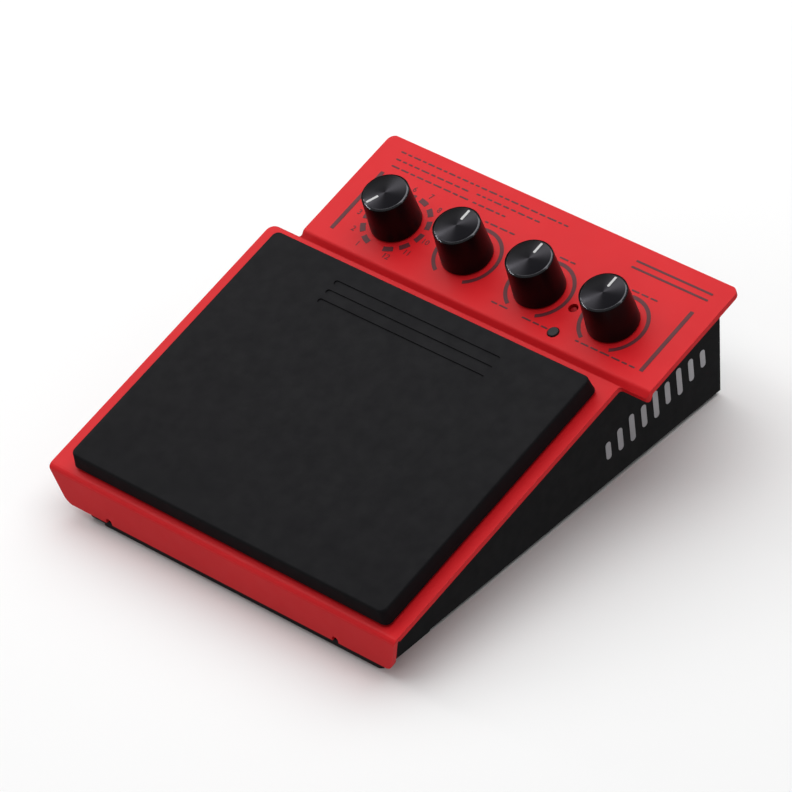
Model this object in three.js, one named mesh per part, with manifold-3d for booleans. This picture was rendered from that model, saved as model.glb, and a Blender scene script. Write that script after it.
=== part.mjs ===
// Electronic drum pad: a folded steel top plate carries a rubber playing surface at the
// front and a row of four knobs at the back, over a black wedge-shaped case.
// Millimetres, +Z up, player's side towards -Y, standing on its feet at Z = 0.
import * as THREE from 'three';
import { mergeVertices } from 'three/addons/utils/BufferGeometryUtils.js';
import Module from 'manifold-3d';

const wasm = await Module();
wasm.setup();

// ---------- driving dimensions ----------
const WIDTH = 166;              // over both staggered halves of the plate
const SLOPE = THREE.MathUtils.degToRad(13.6); // plate against the table
const FRONT_Y = -89.27;         // sharp front bend of the plate, measured from the centre
const BEND_Z = 19.0;            // height of that bend

const SHEET = 2.0;              // plate thickness
const DECK_LEFT = -WIDTH / 2;
const DECK_RIGHT = 71;
const PANEL_LEFT = -69.4;
const PANEL_RIGHT = WIDTH / 2;
const LIP_LENGTH = 15.5;
const LIP_OUT = THREE.MathUtils.degToRad(7.3); // lip opens out from square to the deck
const LIP_TAPER = 4.5;          // each end of the lip narrows by this much
const STEP_START = 118.2;       // along the deck, foot of the step
const STEP_RISE = 2.0;
const PANEL_START = STEP_START + STEP_RISE;
const PANEL_LENGTH = 48.6;
const CORNER = 3.0;

const CASE_LEFT = -71;
const CASE_RIGHT = 61.6;
const CASE_FRONT = 2.9;         // from the front bend
const CASE_BACK = 174;
const CASE_BOTTOM = 1.4;
const WALL = 2.2;
const REAR_LEAN = THREE.MathUtils.degToRad(5);
const REAR_TOP = 42;
const GAP = 0.3;

const PAD = { left: -74.5, right: 66, front: 3.4, back: 113.6, top: 7.3, inset: 1.2, radius: 2.6 };
const PAD_GROOVES = { left: -40, right: 33, at: [94.6, 99, 103.4], width: 2, depth: 0.4 };
const PAD_TRAVEL = 0.5;
const PAD_FLOAT = PAD_TRAVEL + GAP;
const PAD_SKIN = 2.8;

const KNOB_X = [-41.7, -9.9, 21.9, 53.7];
const KNOB_P = 17.6;            // knob row, behind the front of the control panel
const KNOB_HEIGHT = 15.4;
const KNOB_BASE_R = 9.15;
const KNOB_TOP_R = 8.35;
const SELECTOR_ANGLE = 155;     // first knob's pointer, turned from straight back
const LED_AT = [37.5, 16.2];
const BUTTON_AT = [37.9, 4.8];

const DECK_SCREWS = [[-62, 14], [54, 14], [-62, 104], [54, 104]];
const BOARD_SCREWS = [[-59, 122], [52, 122], [-59, 142], [52, 142]];
const BOARD_Z = 6.8;
const BOARD_THICK = 1.6;
const BATTERY = { left: -36, right: 26, front: 35, back: 103 };
const CELL_X = [-27.5, -12.5, 2.5, 17.5];

const OUTPUT_X = [-56, -36, -16];
const MINI_X = [-1.5, 9.5];
const USB_X = 21;
const POWER_IN_X = 33.5;
const SWITCH_X = 49;
const SWITCH_U = 12;

// ---------- solids ----------
function toSolid(geometry) {
  const bare = geometry.clone();
  bare.deleteAttribute('normal');
  bare.deleteAttribute('uv');
  const merged = mergeVertices(bare, 1e-4);
  const position = merged.getAttribute('position');
  const index = merged.getIndex().array;
  const faces = [];
  for (let i = 0; i < index.length; i += 3) {
    const [a, b, c] = [index[i], index[i + 1], index[i + 2]];
    if (a !== b && b !== c && a !== c) faces.push(a, b, c);
  }
  const p = [new THREE.Vector3(), new THREE.Vector3(), new THREE.Vector3()];
  let volume = 0;
  for (let i = 0; i < faces.length; i += 3) {
    p.forEach((v, k) => v.fromBufferAttribute(position, faces[i + k]));
    volume += p[0].dot(p[1].cross(p[2]));
  }
  if (volume < 0) {
    for (let i = 0; i < faces.length; i += 3) {
      [faces[i + 1], faces[i + 2]] = [faces[i + 2], faces[i + 1]];
    }
  }
  return new wasm.Manifold(new wasm.Mesh({
    numProp: 3,
    vertProperties: new Float32Array(position.array),
    triVerts: new Uint32Array(faces),
  }));
}

function toGeometry(body) {
  const mesh = body.getMesh();
  const geometry = new THREE.BufferGeometry();
  geometry.setAttribute('position', new THREE.BufferAttribute(mesh.vertProperties, 3));
  geometry.setIndex(new THREE.BufferAttribute(mesh.triVerts, 1));
  return geometry;
}

function box(x0, x1, y0, y1, z0, z1) {
  const geometry = new THREE.BoxGeometry(x1 - x0, y1 - y0, z1 - z0);
  geometry.translate((x0 + x1) / 2, (y0 + y1) / 2, (z0 + z1) / 2);
  return toSolid(geometry);
}

// Upright cylinder on (x, y) between two heights.
function post(x, y, z0, z1, radius, segments = 20) {
  const geometry = new THREE.CylinderGeometry(radius, radius, z1 - z0, segments);
  geometry.rotateX(Math.PI / 2);
  geometry.translate(x, y, (z0 + z1) / 2);
  return toSolid(geometry);
}

// Cylinder lying along y, centred on (x, z).
function bar(x, z, y0, y1, radius, segments = 20) {
  const geometry = new THREE.CylinderGeometry(radius, radius, y1 - y0, segments);
  geometry.translate(x, (y0 + y1) / 2, z);
  return toSolid(geometry);
}

// Solid of revolution about z from [radius, height] pairs.
function turned(profile, segments = 48) {
  const points = profile.map(([r, h]) => new THREE.Vector2(r, h));
  const geometry = new THREE.LatheGeometry(points, segments);
  geometry.rotateX(Math.PI / 2);
  return toSolid(geometry);
}

// Corner points [x, y, radius] become arcs.
function roundedPath(corners, steps = 5) {
  const path = [];
  corners.forEach(([x, y, r = 0], i) => {
    const here = new THREE.Vector2(x, y);
    if (r === 0) {
      path.push(here);
      return;
    }
    const before = corners[(i + corners.length - 1) % corners.length];
    const after = corners[(i + 1) % corners.length];
    const u = new THREE.Vector2(before[0] - x, before[1] - y).normalize();
    const w = new THREE.Vector2(after[0] - x, after[1] - y).normalize();
    const half = Math.acos(u.dot(w)) / 2;
    const centre = u.clone().add(w).normalize().multiplyScalar(r / Math.sin(half)).add(here);
    const start = u.clone().multiplyScalar(r / Math.tan(half)).add(here).sub(centre);
    const end = w.clone().multiplyScalar(r / Math.tan(half)).add(here).sub(centre);
    const from = start.angle();
    let sweep = end.angle() - from;
    if (sweep > Math.PI) sweep -= 2 * Math.PI;
    if (sweep < -Math.PI) sweep += 2 * Math.PI;
    for (let k = 0; k <= steps; k += 1) {
      const a = from + (sweep * k) / steps;
      path.push(new THREE.Vector2(centre.x + r * Math.cos(a), centre.y + r * Math.sin(a)));
    }
  });
  return new THREE.Shape(path);
}

function rectangle(x0, x1, y0, y1, r, steps = 5) {
  return roundedPath([[x0, y0, r], [x1, y0, r], [x1, y1, r], [x0, y1, r]], steps);
}

// Outline in x and y, raised along z.
function upright(shape, z0, z1) {
  const geometry = new THREE.ExtrudeGeometry(shape, { depth: z1 - z0, bevelEnabled: false });
  geometry.translate(0, 0, z0);
  return toSolid(geometry);
}

// Outline in y and z, swept along x.
function sideways(shape, x0, x1) {
  const geometry = new THREE.ExtrudeGeometry(shape, { depth: x1 - x0, bevelEnabled: false });
  geometry.applyMatrix4(new THREE.Matrix4().set(0, 0, 1, x0, 1, 0, 0, 0, 0, 1, 0, 0, 0, 0, 0, 1));
  return toSolid(geometry);
}

// Outline in x and z, swept along y.
function lengthways(shape, y0, y1) {
  const geometry = new THREE.ExtrudeGeometry(shape, { depth: y1 - y0, bevelEnabled: false });
  geometry.rotateX(Math.PI / 2);
  geometry.translate(0, y1, 0);
  return toSolid(geometry);
}

// Point of the deck frame, [distance up the slope, height off it], as [y, z] of the case.
function onSlope(s, o) {
  return [
    s * Math.cos(SLOPE) - o * Math.sin(SLOPE),
    BEND_Z + s * Math.sin(SLOPE) + o * Math.cos(SLOPE),
  ];
}

// ---------- frames ----------
const drumPad = new THREE.Group();
const caseFrame = new THREE.Group();    // y from the front bend
caseFrame.position.set(0, FRONT_Y, 0);
drumPad.add(caseFrame);

const deckFrame = new THREE.Group();    // y up the slope, z off the deck
deckFrame.position.set(0, 0, BEND_Z);
deckFrame.rotation.x = SLOPE;
caseFrame.add(deckFrame);

const panelFrame = new THREE.Group();   // y behind the step, z off the control panel
panelFrame.position.set(0, PANEL_START, STEP_RISE);
deckFrame.add(panelFrame);

const rearFrame = new THREE.Group();    // y out of the rear wall, z up it
rearFrame.position.set(0, CASE_BACK, CASE_BOTTOM);
rearFrame.rotation.x = -REAR_LEAN;
caseFrame.add(rearFrame);

const finishes = {
  redPaint: { color: 0xd92b33, roughness: 0.38, metalness: 0.1 },
  blackShell: { color: 0x18181a, roughness: 0.55, metalness: 0.0 },
  padRubber: { color: 0x242427, roughness: 0.8, metalness: 0.0 },
  blackRubber: { color: 0x101011, roughness: 0.9, metalness: 0.0 },
  knobPlastic: { color: 0x121113, roughness: 0.45, metalness: 0.0 },
  spunMetal: { color: 0x3c3f45, roughness: 0.3, metalness: 1.0 },
  steel: { color: 0xa8abb0, roughness: 0.35, metalness: 1.0 },
  nickel: { color: 0xc4c6ca, roughness: 0.25, metalness: 1.0 },
  brass: { color: 0xb08a3e, roughness: 0.35, metalness: 1.0 },
  board: { color: 0x1f5a36, roughness: 0.5, metalness: 0.0 },
  blackPart: { color: 0x1b1b1d, roughness: 0.5, metalness: 0.0 },
  greyButton: { color: 0x3a3b3f, roughness: 0.6, metalness: 0.0 },
  redLens: { color: 0xb01018, roughness: 0.15, metalness: 0.0 },
  cellWrap: { color: 0x2d5fa8, roughness: 0.35, metalness: 0.1 },
  foam: { color: 0x4a4a4c, roughness: 0.95, metalness: 0.0 },
};

function place(frame, name, body, finish) {
  const mesh = new THREE.Mesh(toGeometry(body), new THREE.MeshStandardMaterial(finishes[finish]));
  mesh.name = name;
  frame.add(mesh);
  return mesh;
}

// ---------- top plate: lip, deck, step and control panel folded from one sheet ----------
function topPlate() {
  const lipFoot = [-LIP_LENGTH * Math.sin(LIP_OUT), -LIP_LENGTH * Math.cos(LIP_OUT)];
  const across = [SHEET * Math.cos(LIP_OUT), -SHEET * Math.sin(LIP_OUT)];
  const inner = SHEET * (Math.SQRT2 - 1);
  const profile = roundedPath([
    [lipFoot[0], lipFoot[1]],
    [lipFoot[0] + across[0], lipFoot[1] + across[1]],
    [SHEET * 0.88, -SHEET, 0.5],
    [STEP_START + inner, -SHEET, 1.4],
    [PANEL_START + inner, STEP_RISE - SHEET, 0.4],
    [PANEL_START + PANEL_LENGTH, STEP_RISE - SHEET],
    [PANEL_START + PANEL_LENGTH, STEP_RISE, 0.3],
    [PANEL_START, STEP_RISE, 1.7],
    [STEP_START, 0, 0.6],
    [0, 0, 2.2],
  ], 4);
  const sheet = sideways(profile, DECK_LEFT, PANEL_RIGHT);
  const panelBack = PANEL_START + PANEL_LENGTH;
  const plan = upright(roundedPath([
    [DECK_LEFT, 2.4],
    [DECK_RIGHT, 2.4],
    [DECK_RIGHT, STEP_START, 1.2],
    [PANEL_RIGHT, STEP_START, 1.5],
    [PANEL_RIGHT, panelBack, CORNER],
    [PANEL_LEFT, panelBack, CORNER],
    [PANEL_LEFT, STEP_START, 1.2],
    [DECK_LEFT, STEP_START, CORNER],
  ]), -30, 10);
  const lip = lengthways(roundedPath([
    [DECK_LEFT, 5],
    [DECK_LEFT, -0.8],
    [DECK_LEFT + LIP_TAPER, -LIP_LENGTH, 4.2],
    [DECK_RIGHT - LIP_TAPER, -LIP_LENGTH, 4.2],
    [DECK_RIGHT, -0.8],
    [DECK_RIGHT, 5],
  ]), -6, 2.4);
  let plate = sheet.intersect(plan.add(lip));
  const notchTop = 1.2 - LIP_LENGTH;
  for (const x of [-59, 42.4]) {
    plate = plate.subtract(bar(x, notchTop, -8, 4, 1.3, 16))
      .subtract(box(x - 1.3, x + 1.3, -8, 4, -LIP_LENGTH - 1, notchTop));
  }
  for (const [x, s] of DECK_SCREWS) plate = plate.subtract(post(x, s, -4, 3, 1.8));
  const holes = KNOB_X.map((x) => [x, KNOB_P, 3.8]);
  holes.push([LED_AT[0], LED_AT[1], 1.8], [BUTTON_AT[0], BUTTON_AT[1], 2.2]);
  for (const [x, p, r] of holes) plate = plate.subtract(post(x, PANEL_START + p, -3, 5, r, 24));
  return plate;
}
place(deckFrame, 'top_plate', topPlate(), 'redPaint');

// ---------- case ----------
function caseShell() {
  const lean = (z) => CASE_BACK + (z - CASE_BOTTOM) * Math.tan(REAR_LEAN);
  const deckUnder = -SHEET - GAP;
  const panelUnder = STEP_RISE - SHEET - GAP;
  const outline = roundedPath([
    [CASE_FRONT, CASE_BOTTOM],
    [CASE_BACK, CASE_BOTTOM],
    [lean(REAR_TOP), REAR_TOP, 2],
    onSlope(PANEL_START + 46.2, panelUnder),
    onSlope(PANEL_START + 1.2, panelUnder),
    onSlope(STEP_START + 1.2, deckUnder),
    onSlope(5, deckUnder),
    [3.9, 14.5],
    [4.3, 3.1],
    [CASE_FRONT, 3.1],
  ], 4);
  const inside = new THREE.Shape([
    [6.6, CASE_BOTTOM + WALL],
    [CASE_BACK - WALL + 0.2, CASE_BOTTOM + WALL],
    [lean(REAR_TOP) - WALL - 0.1, REAR_TOP - 0.9],
    [160.2, 56.2],
    onSlope(PANEL_START + 43.4, 4),
    onSlope(8, 4),
    [6.1, 14],
  ].map(([y, z]) => new THREE.Vector2(y, z)));
  const hull = sideways(outline, CASE_LEFT, CASE_RIGHT)
    .intersect(upright(rectangle(CASE_LEFT, CASE_RIGHT, CASE_FRONT, CASE_BACK + 8, 3), 0, 80));
  let shell = hull.subtract(sideways(inside, CASE_LEFT + WALL, CASE_RIGHT - WALL));

  for (const [x, y] of BOARD_SCREWS) {
    shell = shell.add(post(x, y, CASE_BOTTOM + 1, BOARD_Z - GAP, 3))
      .subtract(post(x, y, CASE_BOTTOM + 1.2, BOARD_Z + 1, 1.5, 12));
  }
  const tilt = (body) => body.rotate([THREE.MathUtils.radToDeg(SLOPE), 0, 0])
    .translate([0, 0, BEND_Z]);
  for (const [x, s] of DECK_SCREWS) {
    const boss = tilt(post(x, s, -60, deckUnder, 3.6)).intersect(hull);
    shell = shell.add(boss).subtract(tilt(post(x, s, -12.5, 1, 1.7, 12)));
  }
  shell = shell.subtract(box(BATTERY.left, BATTERY.right, BATTERY.front, BATTERY.back, 0, 5));

  const rear = (body) => body.rotate([-THREE.MathUtils.radToDeg(REAR_LEAN), 0, 0])
    .translate([0, CASE_BACK, CASE_BOTTOM]);
  for (const x of OUTPUT_X) shell = shell.subtract(rear(bar(x, 15.5, -4, 4, 4.9, 20)));
  for (const x of MINI_X) shell = shell.subtract(rear(bar(x, 11.5, -4, 4, 3.3, 16)));
  shell = shell.subtract(rear(bar(POWER_IN_X, 13.5, -4, 4, 4.3, 16)));
  shell = shell.subtract(rear(box(USB_X - 4.3, USB_X + 4.3, -4, 4, 9, 12.5)));
  shell = shell.subtract(rear(box(SWITCH_X - 4.6, SWITCH_X + 4.6, -4, 4, SWITCH_U - 1.7, SWITCH_U + 1.7)));
  return shell;
}
place(caseFrame, 'case_shell', caseShell(), 'blackShell');

place(caseFrame, 'front_foot', upright(rectangle(-64.5, 61, 3.2, 27.5, 2), 0, 1.1), 'blackRubber');
place(caseFrame, 'rear_foot_left', post(-57, 157, 0, 1.1, 7, 32), 'blackRubber');
place(caseFrame, 'rear_foot_right', post(49, 157, 0, 1.1, 7, 32), 'blackRubber');

// ---------- playing surface ----------
function strikePad() {
  const { left, right, front, back, top, inset, radius } = PAD;
  // [inset, height] of each level: foot, slight draft, start of the chamfer, top
  const layers = [[0, PAD_FLOAT], [0.3, 3.4], [inset - 0.5, top - 0.6], [inset, top]];
  let body = null;
  for (let i = 0; i < layers.length - 1; i += 1) {
    const [[d0, z0], [d1, z1]] = [layers[i], layers[i + 1]];
    const low = rectangle(left + d0, right - d0, front + d0, back - d0, radius - d0, 6).getPoints();
    const high = rectangle(left + d1, right - d1, front + d1, back - d1, radius - d1, 6).getPoints();
    const points = [
      ...low.map((p) => [p.x, p.y, z0]),
      ...high.map((p) => [p.x, p.y, z1]),
    ];
    const slice = wasm.Manifold.hull(points);
    body = body ? body.add(slice) : slice;
  }
  const hollow = upright(rectangle(left + 3, right - 3, front + 3, back - 3, 2, 3), 0, top - PAD_SKIN);
  body = body.subtract(hollow);
  const { at, width, depth } = PAD_GROOVES;
  for (const s of at) {
    const groove = rectangle(PAD_GROOVES.left, PAD_GROOVES.right, s, s + width, width / 2 - 0.01, 4);
    body = body.subtract(upright(groove, top - depth, top + 1));
  }
  return body;
}
place(deckFrame, 'strike_pad', strikePad(), 'padRubber');
place(deckFrame, 'pad_plate',
  upright(rectangle(-71.1, 62.6, 6.8, 110.2, 2, 3), 3.0, 4.2), 'steel');
place(deckFrame, 'sensor_disc', post(-4.2, 58, 2.2, 2.7, 13.5, 32), 'brass');
place(deckFrame, 'sensor_foam', post(-4.2, 58, PAD_FLOAT, 1.9, 10, 24), 'foam');
DECK_SCREWS.forEach(([x, s], i) => {
  const screw = post(x, s, -10, 0.6, 1.3, 10).add(post(x, s, 0.3, 1.6, 2.6, 14))
    .subtract(box(x - 1.3, x + 1.3, s - 0.3, s + 0.3, 1.0, 2));
  place(deckFrame, `deck_screw_${i + 1}`, screw, 'steel');
});

// ---------- control panel: pots, knobs, button and lamp ----------
const knobNames = ['selector', 'level_1', 'level_2', 'level_3'];
KNOB_X.forEach((x, i) => {
  const station = new THREE.Group();
  station.position.set(x, KNOB_P, 0);
  panelFrame.add(station);

  const pot = box(-5, 5, -5.5, 5.5, -9.3, -2.4).add(post(0, 0, -3, 3.6, 3.5, 20))
    .subtract(post(0, 0, -7.4, 4, 3.0, 20));
  place(station, i === 0 ? 'selector_switch' : `level_pot_${i}`, pot, 'blackPart');
  const nut = post(0, 0, 0.3, 2.2, 5.6, 6).subtract(post(0, 0, 0, 3, 3.8, 20));
  place(station, `${knobNames[i]}_nut`, nut, 'nickel');

  const turning = new THREE.Group();
  if (i === 0) turning.rotation.z = THREE.MathUtils.degToRad(SELECTOR_ANGLE);
  station.add(turning);
  const flat = box(-4, 4, 2.0, 4, 4, 13);
  const shaft = post(0, 0, -7, 11.6, 2.7, 20).subtract(flat);
  place(turning, `${knobNames[i]}_shaft`, shaft, 'steel');
  const skirt = turned([
    [0, 12.2],
    [3.0, 12.2],
    [3.0, 4.2],
    [6.6, 4.2],
    [6.9, 0.4],
    [KNOB_BASE_R, 0.4],
    [KNOB_TOP_R + 0.03, KNOB_HEIGHT - 0.45],
    [7.95, KNOB_HEIGHT - 0.1],
    [7.95, KNOB_HEIGHT - 1.0],
    [0, KNOB_HEIGHT - 1.0],
  ], 44);
  place(turning, `${knobNames[i]}_knob`, skirt, 'knobPlastic');
  const disc = turned([
    [0, KNOB_HEIGHT - 0.7],
    [7.65, KNOB_HEIGHT - 0.7],
    [7.65, KNOB_HEIGHT - 0.35],
    [7.15, KNOB_HEIGHT + 0.1],
    [0, KNOB_HEIGHT + 0.1],
  ], 44);
  const pointer = box(-0.5, 0.5, 2.4, 7.0, KNOB_HEIGHT - 0.05, KNOB_HEIGHT + 1);
  place(turning, `${knobNames[i]}_disc`, disc.subtract(pointer), 'spunMetal');
});

const lamp = turned([
  [0, -9.3], [1.9, -9.3], [1.9, -8.3], [1.45, -8.3], [1.45, -1.3], [1.0, -0.75], [0, -0.6],
], 20)
  .translate([LED_AT[0], LED_AT[1], 0]);
place(panelFrame, 'indicator_lamp', lamp, 'redLens');
const button = turned([
  [0, -5.3], [1.2, -5.3], [1.2, -3.4], [2.8, -3.4], [2.8, -2.6],
  [1.9, -2.6], [1.9, 0.3], [1.7, 0.5], [0, 0.5],
], 24).translate([BUTTON_AT[0], BUTTON_AT[1], 0]);
place(panelFrame, 'function_button', button, 'greyButton');
const tact = box(BUTTON_AT[0] - 3, BUTTON_AT[0] + 3, BUTTON_AT[1] - 3, BUTTON_AT[1] + 3, -9.3, -6.6)
  .add(post(BUTTON_AT[0], BUTTON_AT[1], -7, -5.95, 1.7, 16));
place(panelFrame, 'tact_switch', tact, 'blackPart');
place(panelFrame, 'control_board', upright(rectangle(-62, 57, 1.5, 32, 1.5, 2), -11.2, -9.6), 'board');

// ---------- main board, sockets and power switch ----------
let mainBoard = upright(rectangle(-63, 56, 117, 169.5, 2, 3), BOARD_Z, BOARD_Z + BOARD_THICK);
for (const [x, y] of BOARD_SCREWS) mainBoard = mainBoard.subtract(post(x, y, 5, 10, 1.8, 12));
place(caseFrame, 'main_board', mainBoard, 'board');
BOARD_SCREWS.forEach(([x, y], i) => {
  const head = BOARD_Z + BOARD_THICK + GAP;
  const screw = post(x, y, CASE_BOTTOM + 2.6, head + 0.3, 1.2, 10)
    .add(post(x, y, head, head + 1.4, 2.6, 14))
    .subtract(box(x - 1.3, x + 1.3, y - 0.3, y + 0.3, head + 0.7, head + 2));
  place(caseFrame, `board_screw_${i + 1}`, screw, 'steel');
});

const outputNames = ['output_jack_left', 'output_jack_right', 'trigger_jack'];
OUTPUT_X.forEach((x, i) => {
  const jack = box(x - 8, x + 8, -26, -2.6, 8, 23)
    .add(bar(x, 15.5, -4, 2.6, 4.5, 20))
    .subtract(bar(x, 15.5, -24, 4, 3.25, 20));
  place(rearFrame, outputNames[i], jack, 'blackPart');
  const nut = bar(x, 15.5, 0.3, 2.2, 7, 24).subtract(bar(x, 15.5, 0, 3, 4.8, 20));
  place(rearFrame, `${outputNames[i]}_nut`, nut, 'nickel');
});
['phones_jack', 'mix_jack'].forEach((name, i) => {
  const x = MINI_X[i];
  const jack = box(x - 4, x + 4, -15, -2.6, 8, 15)
    .add(bar(x, 11.5, -4, 1.0, 3))
    .subtract(bar(x, 11.5, -13, 2, 1.85, 16));
  place(rearFrame, name, jack, 'blackPart');
});
const usb = box(USB_X - 3.9, USB_X + 3.9, -8, -0.3, 9.3, 12.2)
  .subtract(box(USB_X - 3.5, USB_X + 3.5, -6.5, 1, 9.7, 11.8))
  .add(box(USB_X - 2.5, USB_X + 2.5, -7, -1.5, 10.5, 11.1));
place(rearFrame, 'usb_socket', usb, 'nickel');
const powerIn = box(POWER_IN_X - 4.6, POWER_IN_X + 4.6, -15, -2.6, 8, 19)
  .add(bar(POWER_IN_X, 13.5, -4, 0.6, 4, 24))
  .subtract(bar(POWER_IN_X, 13.5, -11, 2, 2.8, 24))
  .add(bar(POWER_IN_X, 13.5, -12, -0.6, 1, 12));
place(rearFrame, 'power_inlet', powerIn, 'blackPart');
const switchBody = box(SWITCH_X - 6, SWITCH_X + 6, -9, -2.6, SWITCH_U - 3, SWITCH_U + 3)
  .subtract(box(SWITCH_X - 4.4, SWITCH_X + 4.4, -6, 0, SWITCH_U - 1.3, SWITCH_U + 1.3));
place(rearFrame, 'power_switch', switchBody, 'blackPart');
const slider = box(SWITCH_X - 4, SWITCH_X, -5.6, 1.6, SWITCH_U - 1, SWITCH_U + 1);
place(rearFrame, 'power_slider', slider, 'greyButton');

// ---------- batteries ----------
const holder = box(-36.5, 26.5, 41, 101, 5.2, 21.6).subtract(box(-35, 25, 43, 99, 0, 20.2));
place(caseFrame, 'battery_holder', holder, 'blackPart');
CELL_X.forEach((x, i) => {
  const cell = bar(x, 12.75, 46, 95.2, 7.1, 20).add(bar(x, 12.75, 95, 96.4, 2.7, 12));
  place(caseFrame, `battery_cell_${i + 1}`, cell, 'cellWrap');
});
const door = box(-35.7, 25.7, 41.2, 102.7, 1.5, 4.4)
  .subtract(box(-30, 20, 50, 98, 2.9, 6))
  .add(box(-37.6, -33, 46, 98, 3.9, 4.9))
  .add(box(23, 27.6, 46, 98, 3.9, 4.9));
place(caseFrame, 'battery_door', door, 'blackShell');

export default drumPad;
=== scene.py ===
"""Looks for the electronic drum pad. Metres, in the CAD part's frame."""

import math
import random

import bmesh
import bpy
from mathutils import Matrix, Vector


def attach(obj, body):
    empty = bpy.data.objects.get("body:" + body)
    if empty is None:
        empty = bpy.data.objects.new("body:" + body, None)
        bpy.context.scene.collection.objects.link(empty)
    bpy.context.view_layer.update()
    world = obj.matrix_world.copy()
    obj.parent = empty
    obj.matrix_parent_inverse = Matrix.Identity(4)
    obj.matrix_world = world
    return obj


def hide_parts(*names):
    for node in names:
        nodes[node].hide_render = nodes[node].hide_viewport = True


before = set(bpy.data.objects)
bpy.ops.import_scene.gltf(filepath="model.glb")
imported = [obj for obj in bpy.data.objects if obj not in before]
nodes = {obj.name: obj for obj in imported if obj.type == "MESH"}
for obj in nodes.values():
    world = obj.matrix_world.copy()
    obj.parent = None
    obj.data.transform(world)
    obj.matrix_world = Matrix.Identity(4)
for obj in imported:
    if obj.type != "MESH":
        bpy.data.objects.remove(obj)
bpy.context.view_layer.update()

# ---------------------------------------------------------------- layout of the CAD part
SLOPE = math.radians(13.6)
FRONT_Y = -0.08927              # bend between the lip and the deck
BEND_Z = 0.019
PANEL_START = 0.1202            # from that bend, up the slope
PANEL_RISE = 0.002
KNOB_X = (-0.0417, -0.0099, 0.0219, 0.0537)
KNOB_P = 0.0176                 # from the front edge of the panel, up the slope
KNOB_NAMES = ("selector", "level_1", "level_2", "level_3")
DIAL_HALF = 155                 # degrees from straight back to either end of a dial
DIAL_STEPS = 12
SELECTOR_TURN = math.radians(DIAL_HALF)
CASE_RIGHT = 0.0616

TILT = Matrix.Rotation(SLOPE, 4, "X")
DECK = Matrix.Translation((0, FRONT_Y, BEND_Z)) @ TILT
PANEL = DECK @ Matrix.Translation((0, PANEL_START, PANEL_RISE))
# right wall: local x runs to the back, local y runs up, local z points out of the wall
SIDE = Matrix.Translation((CASE_RIGHT, FRONT_Y, 0)) @ Matrix(
    ((0, 0, 1, 0), (1, 0, 0, 0), (0, 1, 0, 0), (0, 0, 0, 1)))


def knob_place(x):
    """Frame of a knob: origin on the panel, z out of it."""
    return PANEL @ Matrix.Translation((x, KNOB_P, 0))


# ---------------------------------------------------------------- materials
class Shader:
    """One node material with short helpers."""

    def __init__(self, name):
        self.material = bpy.data.materials.new(name)
        self.material.use_nodes = True
        self.tree = self.material.node_tree
        self.bsdf = self.tree.nodes["Principled BSDF"]
        self.coords = self.tree.nodes.new("ShaderNodeTexCoord")

    def link(self, a, b):
        self.tree.links.new(a, b)

    def set(self, **values):
        for key, value in values.items():
            self.bsdf.inputs[key.replace("_", " ")].default_value = value

    def noise(self, scale, detail=2.0, rough=0.5, stretch=(1, 1, 1)):
        space = self.tree.nodes.new("ShaderNodeMapping")
        space.inputs["Scale"].default_value = stretch
        self.link(self.coords.outputs["Object"], space.inputs["Vector"])
        tex = self.tree.nodes.new("ShaderNodeTexNoise")
        tex.inputs["Scale"].default_value = scale
        tex.inputs["Detail"].default_value = detail
        tex.inputs["Roughness"].default_value = rough
        self.link(space.outputs["Vector"], tex.inputs["Vector"])
        return tex.outputs["Fac"]

    def ramp(self, source, low, high, at=(0.3, 0.7)):
        """Source mapped to values between low and high."""
        span = self.tree.nodes.new("ShaderNodeMapRange")
        span.inputs["From Min"].default_value = at[0]
        span.inputs["From Max"].default_value = at[1]
        span.inputs["To Min"].default_value = low
        span.inputs["To Max"].default_value = high
        self.link(source, span.inputs["Value"])
        return span.outputs["Result"]

    def mix(self, factor, a, b):
        made = self.tree.nodes.new("ShaderNodeMix")
        made.data_type = "RGBA"
        made.inputs["A"].default_value = (*a, 1)
        made.inputs["B"].default_value = (*b, 1)
        self.link(factor, made.inputs["Factor"])
        return made.outputs["Result"]

    def vector_math(self, operation, source):
        made = self.tree.nodes.new("ShaderNodeVectorMath")
        made.operation = operation
        self.link(source, made.inputs[0])
        return made

    def scalar_math(self, operation, source, value=None):
        made = self.tree.nodes.new("ShaderNodeMath")
        made.operation = operation
        if value is not None:
            made.inputs[1].default_value = value
        self.link(source, made.inputs[0])
        return made

    def paint(self, socket):
        self.link(socket, self.bsdf.inputs["Base Color"])

    def gloss(self, socket):
        self.link(socket, self.bsdf.inputs["Roughness"])

    def bump(self, height, strength, distance):
        made = self.tree.nodes.new("ShaderNodeBump")
        made.inputs["Strength"].default_value = strength
        made.inputs["Distance"].default_value = distance
        self.link(height, made.inputs["Height"])
        self.link(made.outputs["Normal"], self.bsdf.inputs["Normal"])


def moulded(name, dark, light, rough, grain_scale=2600, grain=0.25, depth=0.00004, shine=0.3):
    """Moulded plastic or rubber with a fine surface grain and slight mottling."""
    s = Shader(name)
    s.set(Specular_IOR_Level=shine)
    s.paint(s.mix(s.ramp(s.noise(90, 4, 0.6), 0, 1), dark, light))
    s.gloss(s.ramp(s.noise(220, 3), rough - 0.05, rough + 0.05))
    s.bump(s.noise(grain_scale, 3, 0.65), grain, depth)
    return s.material


def red_paint():
    """Smooth powder coat with a faint haze of the same hue."""
    s = Shader("red_powder_coat")
    s.paint(s.mix(s.ramp(s.noise(35, 3), 0, 1), (0.60, 0.0095, 0.0145), (0.64, 0.012, 0.017)))
    s.gloss(s.ramp(s.noise(160, 3), 0.38, 0.46))
    s.bump(s.noise(1500, 2, 0.5), 0.10, 0.00003)
    s.set(Specular_IOR_Level=0.22, Specular_Tint=(1, 0.65, 0.65, 1))
    return s.material


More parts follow.
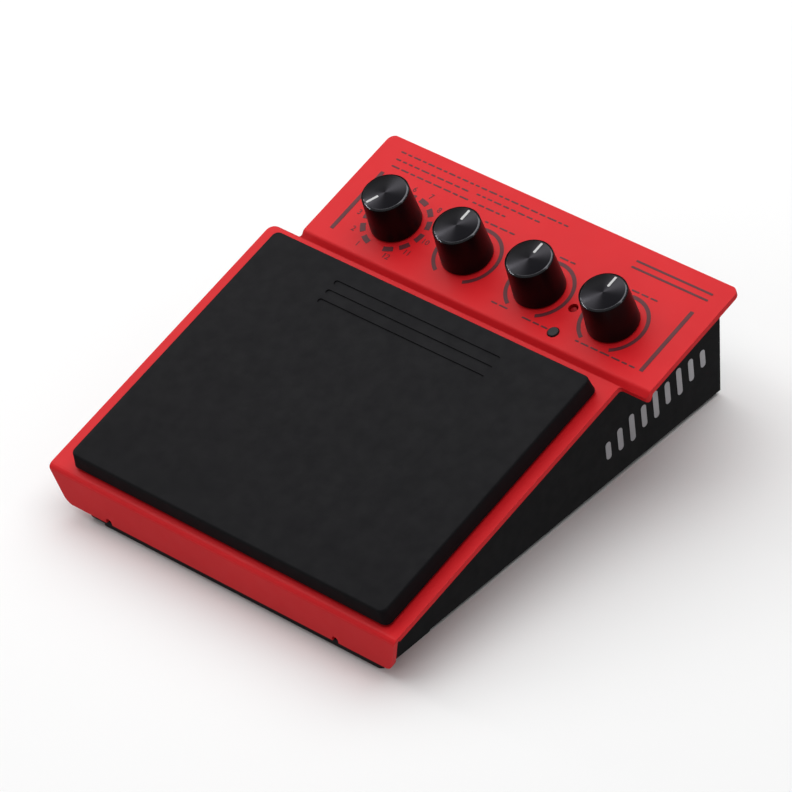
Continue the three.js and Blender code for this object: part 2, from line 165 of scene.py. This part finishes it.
def metal(name, colour, rough, scale=900, stretch=(1, 1, 1)):
    """Bare metal whose tone and gloss vary a little, along one direction if stretched."""
    s = Shader(name)
    lighter = tuple(min(1.0, c * 1.15) for c in colour)
    s.paint(s.mix(s.ramp(s.noise(scale, 3, 0.6, stretch), 0, 1), colour, lighter))
    s.gloss(s.ramp(s.noise(scale * 0.5, 3, 0.6, stretch), rough - 0.06, rough + 0.08))
    s.bump(s.noise(scale * 2, 2, 0.5, stretch), 0.12, 0.00002)
    s.set(Metallic=1.0)
    return s.material


# painted highlight: direction and sharpness of a sheen painted into the disc's base colour, lighter
# along one line through the centre
PAINTED_FAN_ANGLE = math.radians(68)    # from the panel's own right
PAINTED_FAN_SHARPNESS = 5
RING_CONTRAST = 0.3


def spun_metal_painted_fan(name, painted_fan_angle):
    """Dark turned face: fine rings, and a painted sheen in the base colour, a painted highlight
    that fans out both ways from the centre.
    """
    s = Shader(name)
    s.set(Metallic=1.0, Roughness=0.26, Anisotropic=0.8, Anisotropic_Rotation=0.25)
    tangent = s.tree.nodes.new("ShaderNodeTangent")
    tangent.direction_type = "RADIAL"
    tangent.axis = "Z"
    s.link(tangent.outputs["Tangent"], s.bsdf.inputs["Tangent"])
    split = s.tree.nodes.new("ShaderNodeSeparateXYZ")
    s.link(s.coords.outputs["Object"], split.inputs["Vector"])
    flat = s.tree.nodes.new("ShaderNodeCombineXYZ")
    s.link(split.outputs["X"], flat.inputs["X"])
    s.link(split.outputs["Y"], flat.inputs["Y"])
    radius = s.vector_math("LENGTH", flat.outputs["Vector"])
    rings = s.tree.nodes.new("ShaderNodeTexNoise")
    rings.noise_dimensions = "1D"
    rings.inputs["Scale"].default_value = 7000
    rings.inputs["Detail"].default_value = 2
    s.link(radius.outputs["Value"], rings.inputs["W"])
    # painted sheen: the base colour is lighter where the radius runs along the fan direction,
    # standing in for reflected light
    direction = s.vector_math("NORMALIZE", flat.outputs["Vector"])
    along = s.vector_math("DOT_PRODUCT", direction.outputs["Vector"])
    along.inputs[1].default_value = (math.cos(painted_fan_angle), math.sin(painted_fan_angle), 0)
    both_ways = s.scalar_math("ABSOLUTE", along.outputs["Value"])
    painted_fan = s.scalar_math("POWER", both_ways.outputs["Value"], PAINTED_FAN_SHARPNESS)
    rings_and_painted_sheen = s.scalar_math("MULTIPLY_ADD", rings.outputs["Fac"], RING_CONTRAST)
    s.link(painted_fan.outputs["Value"], rings_and_painted_sheen.inputs[2])
    level = s.ramp(rings_and_painted_sheen.outputs["Value"], 0, 1, (0.1, 1.2))
    s.paint(s.mix(level, (0.0042, 0.004, 0.005), (0.032, 0.031, 0.035)))
    s.bump(rings.outputs["Fac"], 0.05, 0.00002)
    return s.material


def brushed(name, colour):
    return metal(name, colour, 0.34, 700, (1, 14, 14))


RED = red_paint()
CASE = moulded("case_texture", (0.0060, 0.0056, 0.0066), (0.0082, 0.0078, 0.0090), 0.55, shine=0.18)
FOOT = moulded("foot_rubber", (0.008, 0.008, 0.008), (0.014, 0.014, 0.014), 0.8, 1500)
PAD = moulded("pad_rubber", (0.0052, 0.005, 0.0062),
              (0.0062, 0.006, 0.0072), 0.68, 2200, 0.3, shine=0.12)
KNOB = moulded("knob_plastic", (0.0022, 0.002, 0.0024),
               (0.0034, 0.003, 0.0036), 0.34, 1800, 0.08, shine=0.16)
PART = moulded("black_part", (0.012, 0.012, 0.013), (0.02, 0.02, 0.022), 0.45, 1200)
BUTTON = moulded("grey_button", (0.018, 0.018, 0.02), (0.03, 0.03, 0.033), 0.55, 1500)
FOAM = moulded("foam", (0.03, 0.03, 0.031), (0.07, 0.07, 0.072), 0.95, 900, 0.8, 0.0002)
BOARD = moulded("board", (0.012, 0.07, 0.035), (0.018, 0.10, 0.05), 0.4, 700, 0.1)
WRAP = moulded("cell_sleeve", (0.02, 0.09, 0.30), (0.03, 0.12, 0.38), 0.3, 300, 0.05)
INK = moulded("panel_ink", (0.085, 0.010, 0.016), (0.105, 0.014, 0.020), 0.5, 900, 0.05)
SIDE_INK = moulded("side_ink", (0.34, 0.34, 0.36), (0.42, 0.42, 0.44), 0.5, 900, 0.05)
WHITE = moulded("pointer_white", (0.50, 0.50, 0.50), (0.58, 0.58, 0.58), 0.4, 900, 0.05)
STEEL = brushed("rolled_steel", (0.42, 0.43, 0.45))
NICKEL = metal("nickel", (0.62, 0.61, 0.60), 0.2)
BRASS = metal("brass", (0.62, 0.42, 0.14), 0.32)
RIM = metal("turned_rim", (0.075, 0.075, 0.082), 0.16, 1200)


def lens():
    """Unlit tinted plastic, sunk in its hole."""
    s = Shader("red_lens")
    s.paint(s.mix(s.ramp(s.noise(400, 2), 0, 1), (0.20, 0.003, 0.006), (0.30, 0.005, 0.009)))
    s.set(Roughness=0.4, Specular_IOR_Level=0.08)
    return s.material


LENS = lens()

# ---------------------------------------------------------------- CAD nodes that stay
STAYS = {
    "top_plate": RED,
    "case_shell": CASE,
    "battery_door": CASE,
    "battery_holder": PART,
    "front_foot": FOOT,
    "rear_foot_left": FOOT,
    "rear_foot_right": FOOT,
    "pad_plate": STEEL,
    "sensor_disc": BRASS,
    "sensor_foam": FOAM,
    "function_button": BUTTON,
    "indicator_lamp": LENS,
    "power_slider": BUTTON,
    "tact_switch": PART,
    "selector_switch": PART,
    "power_switch": PART,
    "power_inlet": PART,
    "output_jack_left": PART,
    "output_jack_right": PART,
    "trigger_jack": PART,
    "phones_jack": PART,
    "mix_jack": PART,
    "usb_socket": NICKEL,
    "control_board": BOARD,
    "main_board": BOARD,
}
for name in ("output_jack_left", "output_jack_right", "trigger_jack", *KNOB_NAMES):
    STAYS[name + "_nut"] = NICKEL
for name in KNOB_NAMES:
    STAYS[name + "_shaft"] = STEEL
for i in range(1, 4):
    STAYS[f"level_pot_{i}"] = PART
for i in range(1, 5):
    STAYS[f"deck_screw_{i}"] = STEEL
    STAYS[f"board_screw_{i}"] = STEEL
    STAYS[f"battery_cell_{i}"] = WRAP


def dress(obj, material):
    obj.data.materials.clear()
    obj.data.materials.append(material)


SHARP_FROM = math.radians(35)


def shade(obj):
    """Smooth across shallow edges, crisp across steep ones."""
    mesh = obj.data
    mesh.polygons.foreach_set("use_smooth", [True] * len(mesh.polygons))
    mesh.set_sharp_from_angle(angle=SHARP_FROM)


for name, material in STAYS.items():
    dress(nodes[name], material)
    shade(nodes[name])


# ---------------------------------------------------------------- new pieces
def add_object(name, data):
    obj = bpy.data.objects.new(name, data)
    bpy.context.scene.collection.objects.link(obj)
    return obj


def add_mesh(name, bm, matrix):
    """Object of the finished bmesh, with its faces turned outwards."""
    mesh = bpy.data.meshes.new(name)
    bmesh.ops.recalc_face_normals(bm, faces=bm.faces)
    bm.to_mesh(mesh)
    bm.free()
    obj = add_object(name, mesh)
    obj.matrix_world = matrix
    return obj


def applied(obj):
    """New mesh of the object with its modifiers or its curve worked out."""
    return bpy.data.meshes.new_from_object(obj.evaluated_get(bpy.context.evaluated_depsgraph_get()))


def new_mesh(name, bm, matrix, material, body):
    """A piece of the part, on its body and in its material slot."""
    obj = add_mesh(name, bm, matrix)
    dress(obj, material)
    shade(obj)
    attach(obj, body)
    return obj


def lathe(profile, segments=96):
    """Closed solid of revolution about z from (radius, height) pairs."""
    bm = bmesh.new()
    rings = []
    for r, h in profile:
        if r < 1e-7:
            rings.append([bm.verts.new((0, 0, h))])
        else:
            rings.append([bm.verts.new((r * math.cos(a), r * math.sin(a), h))
                          for a in (2 * math.pi * k / segments for k in range(segments))])
    for low, high in zip(rings, rings[1:]):
        for k in range(segments):
            n = (k + 1) % segments
            if len(low) == 1:
                bm.faces.new((low[0], high[n], high[k]))
            elif len(high) == 1:
                bm.faces.new((low[k], low[n], high[0]))
            else:
                bm.faces.new((low[k], low[n], high[n], high[k]))
    return bm


def wall(bm, low, high):
    """Faces between two closed loops of as many points."""
    for k in range(len(low)):
        n = (k + 1) % len(low)
        bm.faces.new((low[k], low[n], high[n], high[k]))


def slab(bm, outline, z0, z1):
    """A flat prism from a closed outline of (x, y) points."""
    low = [bm.verts.new((x, y, z0)) for x, y in outline]
    high = [bm.verts.new((x, y, z1)) for x, y in outline]
    bm.faces.new(list(reversed(low)))
    bm.faces.new(high)
    wall(bm, low, high)


def arc_band(radius, width, start, end, steps):
    """Outline of a ring segment; angles in degrees, 0 along +x."""
    angles = [math.radians(start + (end - start) * k / steps) for k in range(steps + 1)]
    outside, inside = radius + width / 2, radius - width / 2
    outer = [(outside * math.cos(a), outside * math.sin(a)) for a in angles]
    inner = [(inside * math.cos(a), inside * math.sin(a)) for a in reversed(angles)]
    return outer + inner


def rounded_box(x0, x1, y0, y1, r, steps=8):
    """Outline of a rectangle with round corners."""
    centres = ((x1 - r, y0 + r), (x1 - r, y1 - r), (x0 + r, y1 - r), (x0 + r, y0 + r))
    points = []
    for corner, (cx, cy) in enumerate(centres):
        for k in range(steps + 1):
            a = math.radians(90 * (corner - 1) + 90 * k / steps)
            points.append((cx + r * math.cos(a), cy + r * math.sin(a)))
    return points


# knobs: smooth skirt, dark spun disc with a painted sheen and a bright chamfer, white pointer in
# its slot.
# Both profiles are (radius, height) pairs.
SKIRT = [
    (0.0, 0.0122), (0.0030, 0.0122), (0.0030, 0.0042), (0.0066, 0.0042), (0.0069, 0.0004),
    (0.0090, 0.0004), (0.00913, 0.0006),
    (0.00836, 0.01500), (0.00834, 0.01512), (0.00828, 0.01518), (0.00822, 0.01514),
    (0.00820, 0.01440), (0.0, 0.01440),
]
DISC = [
    (0.0, 0.01472), (0.00815, 0.01472), (0.00815, 0.01504), (0.00811, 0.01510),
    (0.00756, 0.01545), (0.00748, 0.01550), (0.0, 0.01550),
]
RIM_FROM = 0.0074               # the chamfer starts at this radius
POINTER = (-0.00045, 0.00045, 0.0026, 0.0071)
POINTER_HEIGHTS = (0.01540, 0.01556)
for x, name in zip(KNOB_X, KNOB_NAMES):
    turn = SELECTOR_TURN if name == "selector" else 0.0
    # painted highlight: the painted fan keeps one direction on the panel however far the knob is
    # turned
    spun_face_painted_fan = spun_metal_painted_fan(name + "_spun", PAINTED_FAN_ANGLE - turn)
    place = knob_place(x) @ Matrix.Rotation(turn, 4, "Z")
    body = name + "_control"
    skirt = new_mesh(name + "_skirt", lathe(SKIRT), place, KNOB, body)
    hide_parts(name + "_knob")
    disc = new_mesh(name + "_face", lathe(DISC, 128), place, spun_face_painted_fan, body)
    disc.data.materials.append(RIM)
    for poly in disc.data.polygons:
        if poly.center.xy.length > RIM_FROM and 0.2 < poly.normal.z < 0.97:
            poly.material_index = 1
    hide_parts(name + "_disc")
    bm = bmesh.new()
    slab(bm, rounded_box(*POINTER, 0.0002, 3), *POINTER_HEIGHTS)
    new_mesh(name + "_pointer", bm, place, WHITE, body)

# playing surface: one closed form with a rounded rim, open underneath over its fittings
PAD_BOX = (-0.0745, 0.066, 0.0034, 0.1136)
PAD_TOP = 0.0073
PAD_FLOAT = 0.0008              # gap between the rim and the deck


def pad_loop(bm, inset, z, radius):
    """Outline of the pad, drawn in by inset, at height z."""
    x0, x1, y0, y1 = PAD_BOX
    ring = rounded_box(x0 + inset, x1 - inset, y0 + inset, y1 - inset, radius, 10)
    return [bm.verts.new((x, y, z)) for x, y in ring]


def pad_mesh():
    """Slab with a rounded rim, hollow underneath; rows are (inset, height, corner radius)."""
    bm = bmesh.new()
    outside = [
        (0.0002, PAD_FLOAT, 0.0024), (0.0, 0.0011, 0.0026), (0.0003, 0.0034, 0.0026),
        (0.0006, 0.0061, 0.0025), (0.00068, 0.00665, 0.0024), (0.00082, 0.00698, 0.0023),
        (0.00104, 0.0072, 0.0022), (0.0013, PAD_TOP, 0.0020),
    ]
    inside = [(0.0030, 0.0045, 0.0012), (0.0030, PAD_FLOAT, 0.0012)]
    loops = [pad_loop(bm, *row) for row in outside]
    hollow = [pad_loop(bm, *row) for row in inside]
    rings = hollow + loops
    for low, high in zip(rings, rings[1:]):
        wall(bm, low, high)
    bm.faces.new(loops[-1])
    bm.faces.new(list(reversed(hollow[0])))
    return bm


GROOVE_AT = (0.0946, 0.0990, 0.1034)
GROOVE_X = (-0.040, 0.033)
GROOVE_WIDTH = 0.0020
GROOVE_DEPTH = 0.0004


def cut_grooves(obj):
    """Three plain straight grooves across the top of the pad."""
    bm = bmesh.new()
    for y in GROOVE_AT:
        slab(bm, rounded_box(*GROOVE_X, y, y + GROOVE_WIDTH, GROOVE_WIDTH * 0.49, 5),
             PAD_TOP - GROOVE_DEPTH, PAD_TOP + 0.001)
    tool = add_mesh("groove_tool", bm, obj.matrix_world)
    cut = obj.modifiers.new("grooves", "BOOLEAN")
    cut.object = tool
    cut.solver = "EXACT"
    bpy.context.view_layer.update()
    done = applied(obj)
    obj.modifiers.clear()
    obj.data = done
    bpy.data.objects.remove(tool)
    shade(obj)


pad = new_mesh("pad_surface", pad_mesh(), DECK, PAD, "pad")
cut_grooves(pad)
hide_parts("strike_pad")

# printing on the sheet and the right wall, as thin slabs just off the surface
INK_LIFT = (0.00002, 0.00007)


def printed(name, outlines, matrix, material=INK):
    bm = bmesh.new()
    for outline in outlines:
        slab(bm, outline, *INK_LIFT)
    return new_mesh(name, bm, matrix, material, "housing")


# rings round the knobs: angles in degrees, 0 along +x
RING_R = 0.0118
RING_W = 0.0014
RING_SPAN = (-60, 240)
SEGMENT_W = 0.0020
SEGMENT_HALF = 9
DIAL_ANGLES = [90 + DIAL_HALF - 2 * DIAL_HALF / (DIAL_STEPS - 1) * k for k in range(DIAL_STEPS)]
for x, name in zip(KNOB_X[1:], KNOB_NAMES[1:]):
    printed(name + "_ring", [arc_band(RING_R, RING_W, *RING_SPAN, 60)], knob_place(x))
segments = [arc_band(RING_R, SEGMENT_W, a - SEGMENT_HALF, a + SEGMENT_HALF, 6) for a in DIAL_ANGLES]
printed("selector_ring", segments, knob_place(KNOB_X[0]))

# upright bars at both ends of the panel: (x from, x to, y from, y to)
BARS = {
    "left_bar": (-0.0617, -0.0601, 0.0051, 0.0333),
    "right_bar": (0.0740, 0.0756, 0.0053, 0.0335),
}
for name, extent in BARS.items():
    printed(name, [rounded_box(*extent, 0.0002, 2)], PANEL)


def numeral(text, size, matrix, material):
    """One printed number, as a thin solid."""
    curve = bpy.data.curves.new("numeral_" + text, "FONT")
    curve.body = text
    curve.size = size
    curve.align_x = "CENTER"
    curve.align_y = "CENTER"
    curve.extrude = 0.000025
    curve.resolution_u = 3
    draft = add_object("numeral_" + text, curve)
    mesh = applied(draft)
    bpy.data.objects.remove(draft)
    obj = add_object("numeral_" + text, mesh)
    obj.matrix_world = matrix
    dress(obj, material)
    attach(obj, "housing")


NUMERAL_R = 0.0150
NUMERAL_SIZE = 0.0031
NUMERAL_LIFT = 0.00006
for k, angle in enumerate(DIAL_ANGLES):
    a = math.radians(angle)
    spot = Matrix.Translation((KNOB_X[0] + NUMERAL_R * math.cos(a),
                               KNOB_P + NUMERAL_R * math.sin(a), NUMERAL_LIFT))
    numeral(str(k + 1), NUMERAL_SIZE, PANEL @ spot, INK)

# plain dashes on the panel, in place of lettering: (x from, x to, height up the panel)
LABEL_ROWS = (
    (-0.0610, 0.0135, 0.0435), (-0.0605, -0.0260, 0.0401), (-0.0245, 0.0045, 0.0405),
    (-0.0600, -0.0255, 0.0370), (-0.0235, -0.0090, 0.0370),
    (-0.0140, -0.0010, 0.0322), (0.0194, 0.0262, 0.0316), (0.0505, 0.0625, 0.0316),
    (0.0104, 0.0186, 0.0055), (0.0242, 0.0352, 0.0050), (0.0468, 0.0722, 0.0055),
)
DASH_HALF = 0.00030
DASH_GAP = 0.0009
DASH_LENGTHS = (0.0014, 0.0040)
SHORTEST_END = 0.0012
dashes = []
luck = random.Random(7)
for start, end, y in LABEL_ROWS:
    x = start
    while x < end - SHORTEST_END:
        stop = min(end, x + luck.uniform(*DASH_LENGTHS))
        dashes.append(rounded_box(x, stop, y - DASH_HALF, y + DASH_HALF, 0.00015, 2))
        x = stop + DASH_GAP
printed("panel_dashes", dashes, PANEL)
RULE_X = (0.0440, 0.0765)
RULE_AT = (0.0392, 0.0420)
RULE_WIDTH = 0.0008
rules = [rounded_box(*RULE_X, y, y + RULE_WIDTH, 0.0003, 3) for y in RULE_AT]
printed("panel_rules", rules, PANEL)

# plain marks on the right wall, in place of lettering
MARK_HEIGHTS = (0.0070, 0.0090, 0.0110, 0.0090, 0.0110, 0.0090, 0.0110, 0.0090, 0.0070)
MARK_START = (0.1155, 0.0140)   # towards the back, up
MARK_PITCH = 0.0062
MARK_RISE = 0.12                # up, for each metre towards the back
MARK_WIDTH = 0.0026
bars = []
for k, height in enumerate(MARK_HEIGHTS):
    x = MARK_START[0] + k * MARK_PITCH
    y = MARK_START[1] + k * MARK_PITCH * MARK_RISE
    bars.append(rounded_box(x, x + MARK_WIDTH, y - height / 2, y + height / 2, 0.0012, 5))
printed("side_marks", bars, SIDE, SIDE_INK)


# ---------------------------------------------------------------- studio
def area_light(name, location, target, width, height, power):
    """Rectangular light of that many metres and watts, facing the target."""
    data = bpy.data.lights.new(name, "AREA")
    data.energy = power
    data.shape = "RECTANGLE"
    data.size = width
    data.size_y = height
    obj = add_object(name, data)
    obj.location = location
    obj.rotation_mode = "QUATERNION"
    obj.rotation_quaternion = (Vector(target) - Vector(location)).to_track_quat("-Z", "Y")


FLOOR_HALF = 6


def floor_piece():
    """Pale paper, kept out of glossy reflections so that the paint stays deep."""
    mesh = bpy.data.meshes.new("floor")
    corners = [(-FLOOR_HALF, -FLOOR_HALF, 0), (FLOOR_HALF, -FLOOR_HALF, 0),
               (FLOOR_HALF, FLOOR_HALF, 0), (-FLOOR_HALF, FLOOR_HALF, 0)]
    mesh.from_pydata(corners, [], [(0, 1, 2, 3)])
    obj = add_object("floor", mesh)
    s = Shader("floor_paper")
    s.paint(s.mix(s.ramp(s.noise(3, 2), 0, 1), (0.84, 0.84, 0.84), (0.86, 0.86, 0.86)))
    s.set(Roughness=0.9)
    dress(obj, s.material)
    obj.visible_glossy = False


floor_piece()
KNOB_ROW = (0, 0.05, 0.06)
area_light("ceiling_soft", (-0.35, 0.45, 1.6), (0, 0, 0.03), 3.0, 2.6, 48)
area_light("left_strip", (-1.2, -0.15, 0.75), KNOB_ROW, 0.12, 0.9, 2.2)
area_light("right_strip", (1.25, 0.35, 0.8), KNOB_ROW, 0.12, 0.9, 1.0)
area_light("front_strip", (-1.36, -0.92, 0.56), KNOB_ROW, 0.9, 0.05, 3.0)

SKY_STRENGTH = 0.22
world = bpy.data.worlds.new("studio")
bpy.context.scene.world = world
world.use_nodes = True
sky = world.node_tree.nodes["Background"]
sky.inputs["Color"].default_value = (1, 1, 1, 1)
sky.inputs["Strength"].default_value = SKY_STRENGTH
bpy.context.scene.view_settings.view_transform = "Standard"

# ---------------------------------------------------------------- camera
AIM = Vector((0, FRONT_Y + 0.1, 0.025))
AZIMUTH = math.radians(46.14)
ELEVATION = math.radians(38.66)
ROLL = math.radians(-7.23)
DISTANCE = 1.88876
LENS_MM = 258.37
SENSOR_MM = 36
OFFSET = (0.01189, 0.0040)      # the aim's place, right of and above the middle of the picture

back = Vector((math.sin(AZIMUTH) * math.cos(ELEVATION),
               -math.cos(AZIMUTH) * math.cos(ELEVATION), math.sin(ELEVATION)))
level = Vector((math.cos(AZIMUTH), math.sin(AZIMUTH), 0))
upright = back.cross(level)
right = level * math.cos(ROLL) + upright * math.sin(ROLL)
up = upright * math.cos(ROLL) - level * math.sin(ROLL)
camera_data = bpy.data.cameras.new("camera")
camera_data.lens = LENS_MM
camera_data.sensor_width = SENSOR_MM
camera_data.clip_start = 0.1
camera_data.clip_end = 50
camera = add_object("camera", camera_data)
place = Matrix((right, up, back)).transposed().to_4x4()
place.translation = AIM + back * DISTANCE - right * OFFSET[0] - up * OFFSET[1]
camera.matrix_world = place
bpy.context.scene.camera = camera
